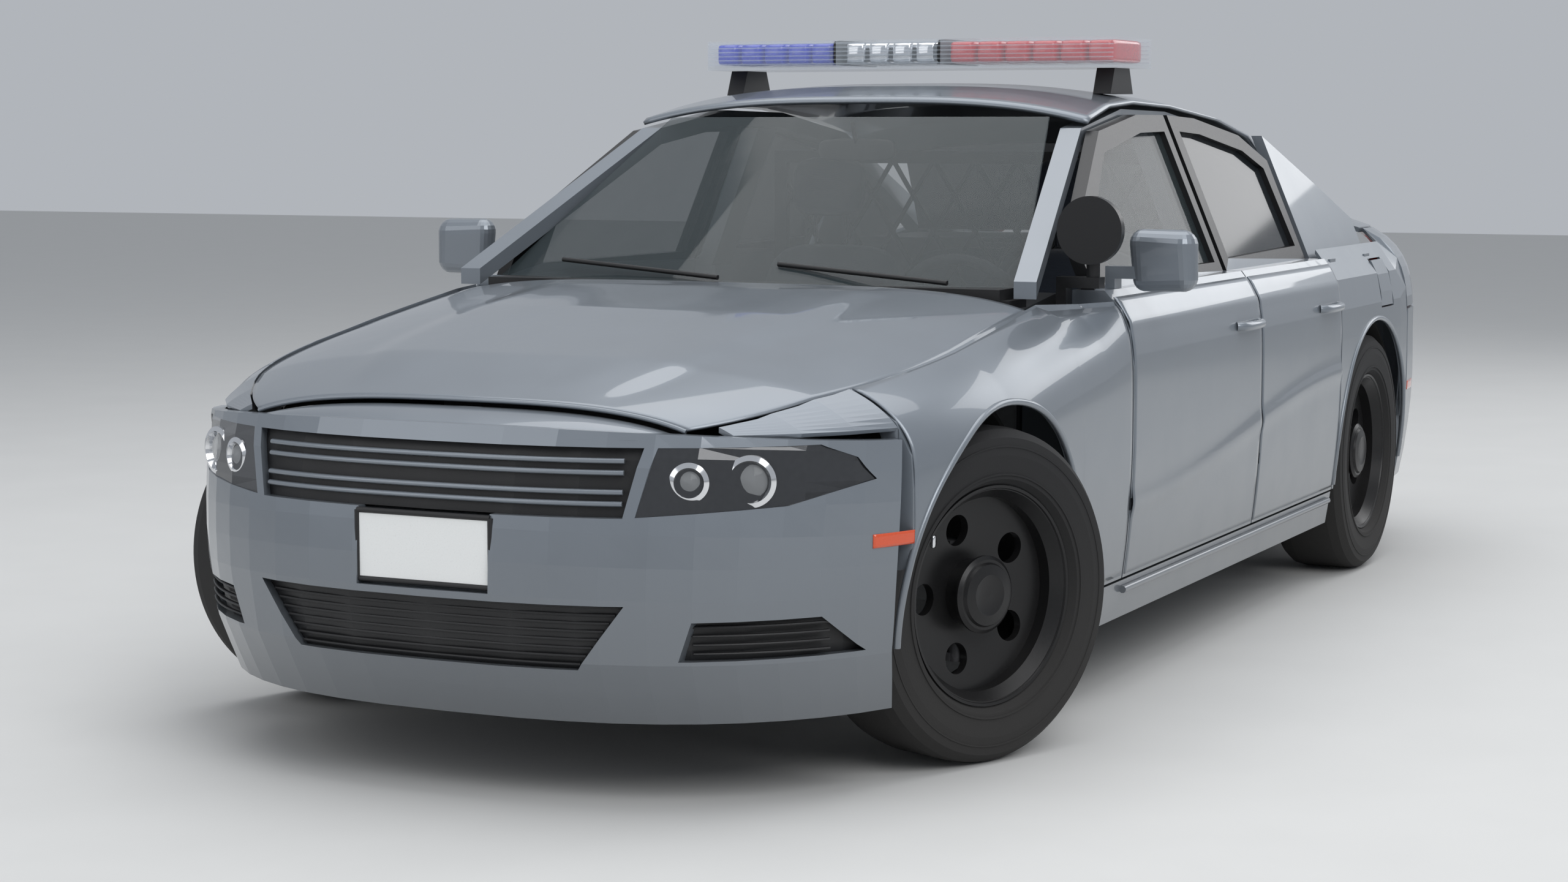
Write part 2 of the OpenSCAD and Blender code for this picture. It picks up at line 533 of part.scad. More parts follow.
// Door with its window frame. Columns of d: front edge, rear edge, hinge station.
module door(x0, x1, hinge_x, line, opening) {
    xs = steps(x0, x1, 8);
    zs = concat(steps(door_low_z, 880, 7), [930, belt_z]);
    difference() {
        union() {
            slab([for (x = xs) [for (z = zs) [x, wide(x, z), z]]], [for (x = xs) [for (z = zs) [max(x, x1 + inner_taper), door_in_y, z]]]);
            intersection() {
                frame_plane(12, -22);
                across(line, 500, 1000);
            }
        }
        across(opening, 500, 1000);
        for (z = [480, 760]) {
            block(hinge_x - 14, x0 + 5, door_in_y - 5, pin_y + 11, z - 26, z + 26);
            translate([hinge_x, pin_y, z - 36]) cylinder(r = pin_r + 0.05, h = 72);
        }
    }
}
module frame_plane(d0, d1) {
    xs = [900, -1040];
    zs = [925, 1400];
    slab([for (x = xs) [for (z = zs) [x, glass_y(z) + d0, z]]], [for (x = xs) [for (z = zs) [x, glass_y(z) + d1, z]]]);
}
module pane(opening) {
    intersection() {
        frame_plane(-4, -9);
        translate([0, 1000, 0]) rotate([90, 0, 0]) linear_extrude(500) shrink(fit) polygon(opening);
    }
}
module front_door() door(door_front_x, door_mid_x + door_mid_gap, door_front_x - pin_back, screen_line, front_opening);
module rear_door() door(door_mid_x - door_mid_gap, door_rear_x + door_mid_gap, door_mid_x - door_mid_gap - pin_back,
    rear_line, rear_opening);
// Wing mirror on its foot, which stands on the door's corner.
module mirror_body() color("#9a9da2") {
    x = 775;
    translate([0, 0, 0]) hull() {
        translate([x, 925, 1000]) sphere(r = 30, $fn = 20);
        translate([x, 1020, 1005]) sphere(r = 34, $fn = 20);
        translate([x, 920, 1085]) sphere(r = 34, $fn = 20);
        translate([x, 1015, 1080]) sphere(r = 38, $fn = 20);
    }
    block(x - 25, x + 25, 832, 930, 1000, 1030);
    block(x - 25, x + 25, 832, 856, belt_z + fit, 1010);
}
spot = [935, 850, 1120];
spot_arm_z = 1010;
module spotlight() color("#1a1b1c") {
    translate([spot[0] - 40, spot[1], spot[2]]) rotate([0, 90, 0]) {
        cylinder(r1 = 40, r2 = 78, h = 50, $fn = 40);
        translate([0, 0, 50]) cylinder(r = 80, h = 22);
    }
    translate([spot[0], spot[1], spot_arm_z - 24]) cylinder(r = 9, h = 80);
    translate([spot[0], spot[1], spot_arm_z + fit]) cylinder(r = 16, h = 40);
}
// Bracket that carries the spotlight's stem beside the windscreen pillar.
module spotlight_bracket() color("#2a2c2e") difference() {
    union() {
        block(915, 955, 765, 790, 930 + fit, spot_arm_z);
        block(915, 955, 765, 872, spot_arm_z - 26, spot_arm_z);
    }
    translate([spot[0], spot[1], spot_arm_z - 40]) cylinder(r = 9.05, h = 60);
}
// Steered upright with its stub axle.
module knuckle() color("#3b3d3f") translate([front_x, track - 15, tyre_r]) {
    translate([-28, -60, arm_z + fit - tyre_r]) cube([56, 68, 2 * (tyre_r - arm_z - fit)]);
    translate([0, 15 + stub_out, 0]) rotate([90, 0, 0]) cylinder(r = stub_r, h = 60);
}
module parked(side) translate([front_x, side * (track - 15), 0]) rotate([0, 0, -park_steer])
    translate([-front_x, -side * (track - 15), 0]) children();
module tyre() color("#1b1c1d") rotate([90, 0, 0]) rotate_extrude($fn = 96) {
    w = tyre_w / 2;
    polygon([[rim_r, -w + 22], [rim_r + 12, -w + 4], [tyre_r - 60, -w], [tyre_r - 22, -w + 4], [tyre_r - 5, -w + 22],
        [tyre_r, -w + 50], [tyre_r, w - 50], [tyre_r - 5, w - 22], [tyre_r - 22, w - 4], [tyre_r - 60, w],
        [rim_r + 12, w - 4], [rim_r, w - 22]]);
}
// Pressed steel rim: barrel, dished disc with five openings and a hub cap. The outer side is at +Z.
module rim() color("#2a2d2e") {
    w = tyre_w / 2 - 22;
    difference() {
        union() {
            rotate_extrude($fn = 96) polygon([[rim_r - fit, -w], [rim_r - fit, w], [rim_r - 12, w],
                [rim_r - 30, w - 26], [rim_r - 30, -w]]);
            rotate_extrude($fn = 96) polygon([[40, 20], [rim_r - 29, 36], [rim_r - 29, 20], [120, 6], [40, 6]]);
            translate([0, 0, 10]) cylinder(r = 72, h = 62);
        }
        for (a = [0 : 72 : 359]) rotate([0, 0, a]) translate([146, 0, -10]) cylinder(r = 34, h = 80);
        translate([0, 0, -1]) cylinder(r = stub_r + 0.05, h = 26);
    }
}
// Side is 1 on the left; the rim's outer side faces away from the car.
module rim_at(x, side) translate([x, side * track, tyre_r]) rotate([side * -90, 0, 0]) rim();
module tyre_at(x, side) translate([x, side * track, tyre_r]) tyre();

floor_pan();
side_frames();
bulkheads();
wheel_houses();
roof_panel();
front_fenders();
rear_quarters();
front_bumper();
rear_bumper();
grilles();
headlamps();
tail_lamps();
windscreen();
rear_window();
cowl();
engine();
subframes();
exhaust();
dashboard();
front_seats();
rear_seat();
partition();
light_bar();
light_bar_feet();
front_plate();
hood();
boot_lid();
fuel_door();
color("#9a9da2") front_door();  // front_door_left
color("#9a9da2") mirror([0, 1, 0]) front_door();  // front_door_right
color("#9a9da2") rear_door();  // rear_door_left
color("#9a9da2") mirror([0, 1, 0]) rear_door();  // rear_door_right
color("#6d7d84", 0.5) pane(front_opening);  // front_window_left
color("#6d7d84", 0.5) mirror([0, 1, 0]) pane(front_opening);  // front_window_right
color("#3f4a46", 0.6) pane(rear_opening);  // rear_window_left
color("#3f4a46", 0.6) mirror([0, 1, 0]) pane(rear_opening);  // rear_window_right
mirror_body();  // mirror_left
mirror([0, 1, 0]) mirror_body();  // mirror_right
spotlight();
spotlight_bracket();
steering_wheel();
parked(1) knuckle();  // knuckle_left
parked(-1) mirror([0, 1, 0]) knuckle();  // knuckle_right
parked(1) tyre_at(front_x, 1);  // tyre_fl
parked(-1) tyre_at(front_x, -1);  // tyre_fr
tyre_at(rear_x, 1);  // tyre_rl
tyre_at(rear_x, -1);  // tyre_rr
parked(1) rim_at(front_x, 1);  // rim_fl
parked(-1) rim_at(front_x, -1);  // rim_fr
rim_at(rear_x, 1);  // rim_rl
rim_at(rear_x, -1);  // rim_rr
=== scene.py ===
"""Police patrol saloon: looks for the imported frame, laid out as an add-on.

One operator builds each group of pieces.
"""
import json
import math
import bpy
import numpy as np
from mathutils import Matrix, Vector

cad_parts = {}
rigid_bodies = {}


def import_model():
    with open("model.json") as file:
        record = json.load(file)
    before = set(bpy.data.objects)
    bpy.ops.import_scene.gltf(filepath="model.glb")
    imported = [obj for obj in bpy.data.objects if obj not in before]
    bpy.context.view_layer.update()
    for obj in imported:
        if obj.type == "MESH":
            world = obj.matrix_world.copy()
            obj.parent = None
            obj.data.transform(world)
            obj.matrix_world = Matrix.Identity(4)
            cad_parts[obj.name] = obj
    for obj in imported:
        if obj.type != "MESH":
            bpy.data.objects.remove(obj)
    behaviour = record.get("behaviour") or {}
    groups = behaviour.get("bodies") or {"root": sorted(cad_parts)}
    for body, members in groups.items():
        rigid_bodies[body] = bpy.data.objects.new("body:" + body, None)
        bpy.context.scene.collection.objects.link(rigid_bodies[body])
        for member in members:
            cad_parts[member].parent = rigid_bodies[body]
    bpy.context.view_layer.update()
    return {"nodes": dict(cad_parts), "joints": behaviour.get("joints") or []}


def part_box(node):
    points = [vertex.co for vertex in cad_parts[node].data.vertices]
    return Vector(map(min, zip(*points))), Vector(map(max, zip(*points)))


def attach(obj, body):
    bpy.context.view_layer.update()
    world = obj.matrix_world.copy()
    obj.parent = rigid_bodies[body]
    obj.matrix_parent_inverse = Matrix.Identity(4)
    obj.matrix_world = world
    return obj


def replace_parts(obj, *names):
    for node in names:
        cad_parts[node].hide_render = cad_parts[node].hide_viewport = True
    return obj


bl_info = {"name": "Patrol Saloon Looks", "version": (1, 0, 0), "blender": (4, 5, 0),
           "location": "View3D > Sidebar > Patrol Saloon", "description": "Panels, lamps, seats and materials of a patrol saloon",
           "category": "Add Mesh"}

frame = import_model()
MATS = {}

# ---- form of the body, in millimetres, with the same rules as the frame's panels ----
MM = 0.001
HALF = 932.0
WIDE_Z, NOSE_C, TAIL_C = 640.0, 1450.0, -1500.0
FRONT_X, REAR_X, AXLE_Z, ARCH_R = 1620.0, -1432.0, 363.0, 408.0
LID_SHARE = 0.83
TOP = np.array([[-2520, 1085, 4], [-2300, 1105, 4], [-1750, 1095, 4.5], [-1000, 1075, 5], [850, 1060, 5],
                [1050, 1010, 4.5], [1620, 955, 3.2], [2100, 885, 3], [2420, 800, 3], [2520, 760, 3]], float)
ENDS = np.array([[170, 2425, -2400], [300, 2500, -2480], [450, 2520, -2520], [560, 2512, -2520], [650, 2500,
    -2505],
                 [720, 2490, -2495], [790, 2455, -2500], [1000, 2455, -2495], [1100, 2455, -2470]], float)
ROOF = np.array([[-1400, 1230], [-1000, 1392], [-700, 1440], [-300, 1472], [0, 1480], [200, 1470], [380, 1440],
    [1120, 1010]], float)


def fall(u, n):
    """Superellipse fall: one at the centre, nothing at u = 1, squarer as n rises."""
    return np.maximum(0, 1 - np.clip(u, 0, 1) ** n) ** (1 / n)


def plan(x, z):
    """Share of the full width at station x and height z: superellipse towards the nose and the tail."""
    nose, tail = np.interp(z, ENDS[:, 0], ENDS[:, 1]), np.interp(z, ENDS[:, 0], ENDS[:, 2])
    front = fall((x - NOSE_C) / (nose - NOSE_C), 2.6)
    back = fall((TAIL_C - x) / (TAIL_C - tail), 3.4)
    return np.where(x > NOSE_C, front, np.where(x < TAIL_C, back, 1.0))


def wide(x, z):
    """Half width of the skin: plan share, times a superellipse shoulder above the widest height
    and a slight tuck below it."""
    top, n = np.interp(x, TOP[:, 0], TOP[:, 1]), np.interp(x, TOP[:, 0], TOP[:, 2])
    rise = np.where(z > WIDE_Z, fall((z - WIDE_Z) / (top - WIDE_Z), n), 1 - 0.04 * ((WIDE_Z - z) / 440) ** 2)
    return HALF * plan(x, z) * rise


def deck(x, y):
    """Height of the hood and boot skin: the shoulder's superellipse read the other way."""
    top, n = np.interp(x, TOP[:, 0], TOP[:, 1]), np.interp(x, TOP[:, 0], TOP[:, 2])
    return WIDE_Z + (top - WIDE_Z) * fall(np.abs(y) / (HALF * plan(x, WIDE_Z)), n)


def roof(x, y):
    """Roof height: the centre line, less a cube of the distance from it."""
    return np.interp(x, ROOF[:, 0], ROOF[:, 1]) - 45 * np.abs(y / 600) ** 3


def smooth_step(a, b, v):
    """Nought before a, one after b, and a smooth cubic between."""
    t = np.clip((v - a) / (b - a), 0, 1)
    return t * t * (3 - 2 * t)


# ---- mesh helpers ----
def grid(x, y, z):
    """Points from three arrays or numbers that broadcast against each other."""
    return np.stack(np.broadcast_arrays(x, y, z), -1)


def mesh_object(name, points, faces, body, mat, smooth=40):
    """Object from an array of points in millimetres and a list or array of faces, shaded smooth below an angle."""
    mesh = bpy.data.meshes.new(name)
    face_list = faces if isinstance(faces, list) else faces.tolist()
    mesh.from_pydata((np.asarray(points, float) * MM).tolist(), [], face_list)
    mesh.update()
    mesh.polygons.foreach_set("use_smooth", np.ones(len(mesh.polygons), bool))
    mesh.set_sharp_from_angle(angle=math.radians(smooth))
    mesh.materials.append(MATS[mat])
    obj = bpy.data.objects.new(name, mesh)
    bpy.context.scene.collection.objects.link(obj)
    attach(obj, body)
    return obj


def grid_faces(n, m, wrap_u=False, wrap_v=False):
    """Quads of an n by m grid of points, joined end to end along either way if asked."""
    i = np.arange(n if wrap_u else n - 1)[:, None]
    j = np.arange(m if wrap_v else m - 1)[None, :]
    a, b = i * m + j, ((i + 1) % n) * m + j
    c, d = ((i + 1) % n) * m + (j + 1) % m, i * m + (j + 1) % m
    return np.stack([a, b, c, d], -1).reshape(-1, 4)


def sheet(name, pts, body, mat, thick=6.0, up=(0, 0, 1), smooth=40):
    """Panel from a grid of skin points, given a thickness on the side away from up."""
    n, m = pts.shape[:2]
    f = grid_faces(n, m)
    p = pts.reshape(-1, 3)
    normal = np.cross(p[f[:, 1]] - p[f[:, 0]], p[f[:, 3]] - p[f[:, 0]]).sum(0)
    if normal @ np.asarray(up, float) < 0:
        f = f[:, ::-1]
    obj = mesh_object(name, p, f, body, mat, smooth)
    mod = obj.modifiers.new("Thickness", "SOLIDIFY")
    mod.thickness, mod.offset = thick * MM, -1
    return obj


def lathe(name, profile, centre, axis, body, mat, sides=64, smooth=35):
    """Surface of revolution: profile points of radius and distance along the axis, turned about it."""
    prof = np.asarray(profile, float)
    axis = np.asarray(axis, float) / np.linalg.norm(axis)
    side = np.cross(axis, (0, 0, 1.0)) if abs(axis[2]) < 0.9 else np.cross(axis, (1.0, 0, 0))
    side /= np.linalg.norm(side)
    other = np.cross(axis, side)
    a = np.linspace(0, 2 * math.pi, sides, endpoint=False)
    ring = np.cos(a)[:, None] * side + np.sin(a)[:, None] * other
    pts = np.asarray(centre, float) + ring[:, None, :] * prof[None, :, :1] + prof[None, :, 1:] * axis
    return mesh_object(name, pts.reshape(-1, 3), grid_faces(sides, len(prof), wrap_u=True), body, mat,
        smooth)


def tube(name, path, r, body, mat, sides=12, flat=1.0, closed=False):
    """Round or flattened bar along a path, with a ring square to the path at every point and flat caps."""
    p = np.asarray(path, float)
    t = np.roll(p, -1, 0) - np.roll(p, 1, 0) if closed else np.gradient(p, axis=0)
    t /= np.linalg.norm(t, axis=1)[:, None]
    ref = np.array([0, 0, 1.0]) if abs(t[:, 2]).mean() < 0.8 else np.array([1.0, 0, 0])
    u = np.cross(t, ref)
    u /= np.linalg.norm(u, axis=1)[:, None]
    v = np.cross(u, t)
    a = np.linspace(0, 2 * math.pi, sides, endpoint=False)
    pts = p[:, None] + r * (np.cos(a)[None, :, None] * u[:, None] + flat * np.sin(a)[None, :, None] * v[:,
        None])
    f = grid_faces(len(p), sides, wrap_u=closed, wrap_v=True).tolist()
    if not closed:
        f += [list(range(sides))[::-1], list(range((len(p) - 1) * sides, len(p) * sides))]
    return mesh_object(name, pts.reshape(-1, 3), f, body, mat)


def pillow(name, centre, size, body, mat, power=5.0, pinch=0.0, lean=0.0, channels=0, n=48):
    """Crowned closed form: a superellipsoid of three half sizes whose sides pull in by pinch between the corners,
    with sewn channels across its width, turned about Y by lean degrees."""
    u = np.linspace(-math.pi / 2, math.pi / 2, n)
    v = np.linspace(-math.pi, math.pi, 2 * n, endpoint=False)
    e = 2 / power
    cu, su = np.sign(np.cos(u)) * np.abs(np.cos(u)) ** e, np.sign(np.sin(u)) * np.abs(np.sin(u)) ** e
    cv, sv = np.sign(np.cos(v)) * np.abs(np.cos(v)) ** e, np.sign(np.sin(v)) * np.abs(np.sin(v)) ** e
    x, y = cu[:, None] * cv[None], cu[:, None] * sv[None]
    z = np.broadcast_to(su[:, None], x.shape)
    draw = 1 - pinch * (1 - np.abs(x) ** 4) * np.abs(y)
    seam = 1 - 0.05 * np.exp(-((np.abs(y) - 0.62) / 0.035) ** 2)
    if channels:
        seam = seam - 0.035 * np.exp(-(np.sin(x * math.pi * channels / 2) / 0.16) ** 2) * (np.abs(y) < 0.6)
    a = math.radians(lean)
    px, py, pz = x * size[0], y * size[1] * draw, z * size[2] * seam
    pts = np.stack([px * math.cos(a) + pz * math.sin(a), py, -px * math.sin(a) + pz * math.cos(a)],
        -1) + np.asarray(centre, float)
    obj = mesh_object(name, pts.reshape(-1, 3), grid_faces(n, 2 * n, wrap_v=True), body, mat, 60)
    return obj


# ---- materials ----
def fine_noise():
    """Node group: a value and a normal from noise on object coordinates, with a scale and a strength."""
    g = bpy.data.node_groups.new("Fine surface", "ShaderNodeTree")
    g.interface.new_socket("Scale", in_out="INPUT", socket_type="NodeSocketFloat").default_value = 200
    g.interface.new_socket("Strength", in_out="INPUT", socket_type="NodeSocketFloat").default_value = 0.1
    g.interface.new_socket("Mask", in_out="OUTPUT", socket_type="NodeSocketFloat")
    g.interface.new_socket("Normal", in_out="OUTPUT", socket_type="NodeSocketVector")
    n, L = g.nodes, g.links
    i, o = n.new("NodeGroupInput"), n.new("NodeGroupOutput")
    c, t, b = n.new("ShaderNodeTexCoord"), n.new("ShaderNodeTexNoise"), n.new("ShaderNodeBump")
    t.inputs["Detail"].default_value = 6
    b.inputs["Distance"].default_value = 0.001
    L.new(c.outputs["Object"], t.inputs["Vector"])
    L.new(i.outputs["Scale"], t.inputs["Scale"])
    L.new(i.outputs["Strength"], b.inputs["Strength"])
    L.new(t.outputs["Fac"], b.inputs["Height"])
    L.new(t.outputs["Fac"], o.inputs["Mask"])
    L.new(b.outputs["Normal"], o.inputs["Normal"])
    return g


def material(name, color, rough=0.5, metal=0.0, scale=200.0, strength=0.1, vary=0.15, low_darkening=0.0, coat=0.0,
             flake=0.0, alpha=1.0, transmission=0.0, glow=0.0, weave=0.0):
    """Principled surface whose colour, roughness and bump vary with noise, darker towards the bottom
    by a brownish mix, and woven if asked."""
    m = bpy.data.materials.new(name)
    m.use_nodes = True
    n, L = m.node_tree.nodes, m.node_tree.links
    p = n["Principled BSDF"]
    p.inputs["Metallic"].default_value = metal
    p.inputs["Coat Weight"].default_value = coat
    p.inputs["Coat Roughness"].default_value = 0.04
    p.inputs["Alpha"].default_value = alpha
    p.inputs["Transmission Weight"].default_value = transmission
    p.inputs["IOR"].default_value = 1.45
    g = n.new("ShaderNodeGroup")
    g.node_tree = bpy.data.node_groups.get("Fine surface") or fine_noise()
    g.inputs["Scale"].default_value = scale
    g.inputs["Strength"].default_value = strength
    mix = n.new("ShaderNodeMix"); mix.data_type = "RGBA"
    mix.inputs["A"].default_value = (*[c * (1 - vary) for c in color], 1)
    mix.inputs["B"].default_value = (*[min(1, c * (1 + vary)) for c in color], 1)
    L.new(g.outputs["Mask"], mix.inputs["Factor"])
    out = mix.outputs["Result"]
    ramp = n.new("ShaderNodeMapRange")
    ramp.inputs["To Min"].default_value = max(0.02, rough - 0.08)
    ramp.inputs["To Max"].default_value = min(1, rough + 0.08)
    L.new(g.outputs["Mask"], ramp.inputs["Value"])
    L.new(ramp.outputs["Result"], p.inputs["Roughness"])
    L.new(g.outputs["Normal"], p.inputs["Normal"])
    # darker towards the bottom: a brownish colour mixed in more strongly from object height 0.62 m down to 0.15 m
    if low_darkening:
        c, s, low = n.new("ShaderNodeTexCoord"), n.new("ShaderNodeSeparateXYZ"), n.new("ShaderNodeMapRange")
        low.inputs["From Min"].default_value, low.inputs["From Max"].default_value = 0.15, 0.62
        low.inputs["To Min"].default_value, low.inputs["To Max"].default_value = low_darkening, 0
        L.new(c.outputs["Object"], s.inputs["Vector"])
        L.new(s.outputs["Z"], low.inputs["Value"])
        d = n.new("ShaderNodeMix"); d.data_type = "RGBA"
        d.inputs["B"].default_value = (0.10, 0.09, 0.075, 1)
        L.new(low.outputs["Result"], d.inputs["Factor"])
        L.new(out, d.inputs["A"])
        out = d.outputs["Result"]
    if flake:
        c, v, f = n.new("ShaderNodeTexCoord"), n.new("ShaderNodeTexVoronoi"), n.new("ShaderNodeMix")
        v.inputs["Scale"].default_value = 1400
        f.data_type = "RGBA"; f.blend_type = "ADD"; f.inputs["Factor"].default_value = flake
        L.new(c.outputs["Object"], v.inputs["Vector"])
        L.new(out, f.inputs["A"])
        L.new(v.outputs["Distance"], f.inputs["B"])
        out = f.outputs["Result"]
    if weave:
        c, w, b = n.new("ShaderNodeTexCoord"), n.new("ShaderNodeTexWave"), n.new("ShaderNodeBump")
        w.inputs["Scale"].default_value = weave
        w.inputs["Distortion"].default_value = 2
        b.inputs["Strength"].default_value, b.inputs["Distance"].default_value = 0.5, 0.001
        L.new(c.outputs["Object"], w.inputs["Vector"])
        L.new(w.outputs["Fac"], b.inputs["Height"])
        L.new(g.outputs["Normal"], b.inputs["Normal"])
        L.new(b.outputs["Normal"], p.inputs["Normal"])
        p.inputs["Sheen Weight"].default_value = 0.4
    L.new(out, p.inputs["Base Color"])
    if glow:
        L.new(out, p.inputs["Emission Color"])
        p.inputs["Emission Strength"].default_value = glow
    MATS[name] = m
    return m


def settings():
    """The add-on's user values."""
    return bpy.context.scene.patrol_saloon


def seen_names(*names):
    """The frame's node objects with these names."""
    return [frame["nodes"][n] for n in names]


CAD_LOOKS = {"paint": ["roof_panel", "front_fenders", "rear_quarters", "front_bumper", "rear_bumper", "hood",
    "boot_lid", "fuel_door",
                       "front_door_left", "front_door_right", "rear_door_left", "rear_door_right", "side_frames"],
             "mirror_cap": ["mirror_left", "mirror_right"], "shell": ["floor_pan",
                 "bulkheads"], "liner": ["wheel_houses"],
             "black": ["grilles", "cowl",
                 "light_bar_feet"], "lamp_dark": ["headlamps"], "lamp_red": ["tail_lamps"],
             "glass": ["windscreen", "front_window_left", "front_window_right"],
             "tint": ["rear_window", "rear_window_left", "rear_window_right"],
             "cast": ["engine", "subframes", "knuckle_left",
                 "knuckle_right"], "pipe": ["exhaust"], "dash": ["dashboard", "steering_wheel"],
             "cloth": ["front_seats", "rear_seat"], "satin_black": ["partition", "spotlight",
                 "spotlight_bracket"],
             "lens": ["light_bar"], "plate": ["front_plate"], "tyre": ["tyre_fl", "tyre_fr", "tyre_rl",
                 "tyre_rr"],
             "steel": ["rim_fl", "rim_fr", "rim_rl", "rim_rr"]}


class SALOON_OT_materials(bpy.types.Operator):
    """Make the materials and give every frame node its own."""
    bl_idname = "saloon.materials"
    bl_label = "Materials"

    def execute(self, context):
        s = settings()
        paint = tuple(s.paint)
        # the paint, shell, tyre and steel colours grow darker towards the bottom by their eighth value
        material("paint", paint, 0.34, 0.45, 6, 0.004, 0.03, 0.35, 0.7, 0.0)
        material("mirror_cap", paint, 0.34, 0.45, 6, 0.004, 0.03, 0, 0.7, 0.0)
        material("shell", (0.20, 0.21, 0.22), 0.5, 0.3, 60, 0.1, 0.15, 0.3)
        material("liner", (0.012, 0.012, 0.012), 0.95, 0, 120, 0.5, 0.3)
        material("black", (0.014, 0.014, 0.015), 0.45, 0, 700, 0.25, 0.2)
        material("satin_black", (0.012, 0.012, 0.013), 0.32, 0.1, 300, 0.08, 0.2)
        material("lamp_dark", (0.03, 0.032, 0.036), 0.12, 0.4, 90, 0.05, 0.2, 0, 1.0)
        material("lamp_red", (0.35, 0.012, 0.01), 0.12, 0, 160, 0.3, 0.15, 0, 1.0)
        material("amber_red", (0.65, 0.07, 0.01), 0.15, 0, 400, 0.3, 0.15, 0, 1.0)
        material("glass", (0.05, 0.065, 0.07), 0.06, 0, 1, 0.0, 0.05, 0, 0.0, 0, 0.38)
        material("tint", (0.02, 0.024, 0.028), 0.06, 0, 1, 0.0, 0.1, 0, 0.0, 0, 0.8)
        material("lamp_glass", (0.85, 0.88, 0.9), 0.03, 0, 8, 0.02, 0.03, 0, 0.5, 0, 0.2)
        material("cast", (0.09, 0.09, 0.095), 0.7, 0.6, 140, 0.5, 0.3)
        material("pipe", (0.35, 0.33, 0.31), 0.4, 0.9, 60, 0.2, 0.25)
        material("dash", (0.03, 0.033, 0.038), 0.65, 0, 900, 0.35, 0.2)
        material("cloth", (0.035, 0.045, 0.065), 0.92, 0, 500, 0.3, 0.35, weave=300)
        material("lens", (0.6, 0.66, 0.72), 0.12, 0, 40, 0.02, 0.05, 0, 0.3, 0, 0.22)
        material("blue", (0.01, 0.03, 0.45), 0.12, 0, 120, 0.2, 0.3, 0, 1.0, glow=0.15)
        material("red", (0.5, 0.01, 0.012), 0.12, 0, 120, 0.2, 0.3, 0, 1.0, glow=0.1)
        material("chrome", (0.75, 0.76, 0.78), 0.08, 1.0, 60, 0.01, 0.04)
        material("plate", (0.82, 0.83, 0.82), 0.3, 0, 300, 0.05, 0.04)
        material("tyre", (0.016, 0.016, 0.017), 0.82, 0, 260, 0.35, 0.25, 0.12)
        material("steel", (0.013, 0.013, 0.014), 0.34, 0.3, 160, 0.1, 0.2, 0.05)
        for name, nodes in CAD_LOOKS.items():
            for obj in seen_names(*nodes):
                for part in [obj] + list(obj.children):
                    if part.type == "MESH":
                        for k in range(max(1, len(part.data.materials))):
                            if len(part.data.materials) <= k:
                                part.data.materials.append(MATS[name])
                            part.material_slots[k].material = MATS[name]
                        part.data.polygons.foreach_set("use_smooth", np.ones(len(part.data.polygons), bool))
                        part.data.set_sharp_from_angle(angle=math.radians(27))
        for name in ("front_door_left", "front_door_right", "rear_door_left", "rear_door_right"):
            mesh = frame["nodes"][name].data
            mesh.materials.append(MATS["satin_black"])
            z = np.zeros(len(mesh.polygons) * 3)
            mesh.polygons.foreach_get("center", z)
            mesh.polygons.foreach_set("material_index", np.where(z[2::3] > 0.985, len(mesh.materials) - 1,
                0).astype(np.int32))
        return {"FINISHED"}


